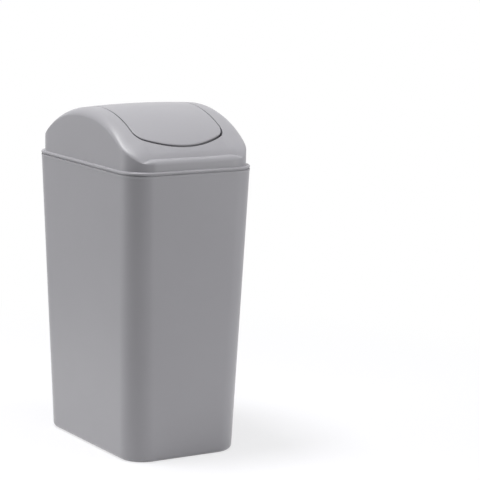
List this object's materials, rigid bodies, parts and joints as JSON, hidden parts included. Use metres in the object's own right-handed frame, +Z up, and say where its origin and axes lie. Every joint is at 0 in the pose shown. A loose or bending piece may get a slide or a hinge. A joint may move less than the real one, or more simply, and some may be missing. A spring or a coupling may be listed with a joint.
{
  "type": "swing-top waste bin",
  "caption": "Tall tapered waste bin with rounded corners, a lift-off arched hood and a flap that swings both ways in the hood's mouth.",
  "frame": {"origin": "on the floor, at the middle of the bounding box's underside", "axes": "+Z up, X across the narrow width, -Y towards the front end of the swing; the flap's hinge line runs along X"},
  "size_m": [0.1646, 0.2406, 0.3936],
  "materials": {
    "body_plastic": "satin, fine even grain, cool mid grey",
    "hood_plastic": "satin, fine even grain, cool mid grey",
    "flap_plastic": "satin, fine even grain, cool mid grey"
  },
  "bodies": {
    "bin_body": {"bin_body": "body_plastic"},
    "hood": {"hood": "hood_plastic"},
    "swing_flap": {"swing_flap": "flap_plastic"}
  },
  "joints": [
    {"name": "hood_lift", "type": "slide", "parent": "bin_body", "child": "hood", "axis": [0, 0, 1], "range_m": [0, 0.1]},
    {"name": "flap_swing", "type": "hinge", "parent": "hood", "child": "swing_flap", "pos_m": [0, 0, 0.382], "axis": [1, 0, 0], "range_deg": [-75, 75]}
  ]
}
